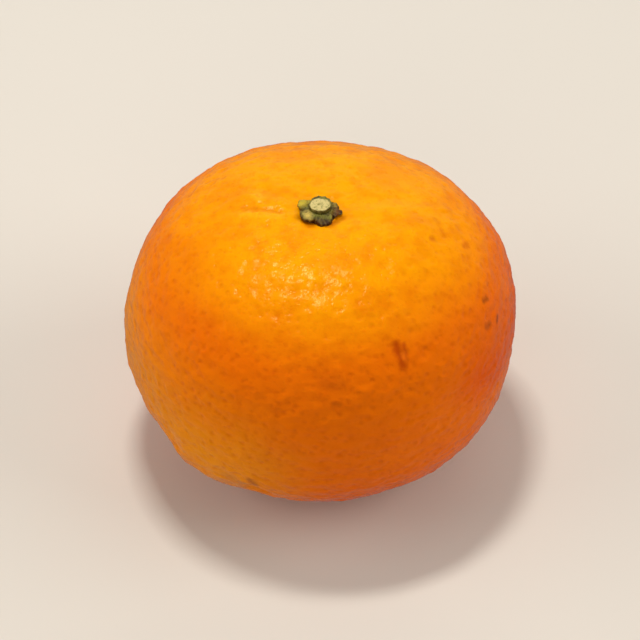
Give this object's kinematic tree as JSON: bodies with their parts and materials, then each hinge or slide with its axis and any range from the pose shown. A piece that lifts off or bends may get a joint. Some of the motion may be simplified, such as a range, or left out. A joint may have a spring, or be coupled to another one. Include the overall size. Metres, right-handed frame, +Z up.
{
  "type": "mandarin",
  "caption": "Whole mandarin with a pitted orange peel, resting on its blossom end, with the dried lobed calyx and a short cut stem stub on top.",
  "frame": {"origin": "centre of the small flat spot that the fruit rests on, at the blossom end", "axes": "+Z up along the fruit's core, from the blossom end to the stem; +Y away from the viewer, +X to the right"},
  "size_m": [0.066, 0.066, 0.0508],
  "materials": {
    "peel": "satin",
    "calyx": "matte",
    "stem_stub": "matte"
  },
  "bodies": {
    "root": {"fruit": "peel", "calyx": "calyx", "stem_stub": "stem_stub"}
  },
  "joints": []
}
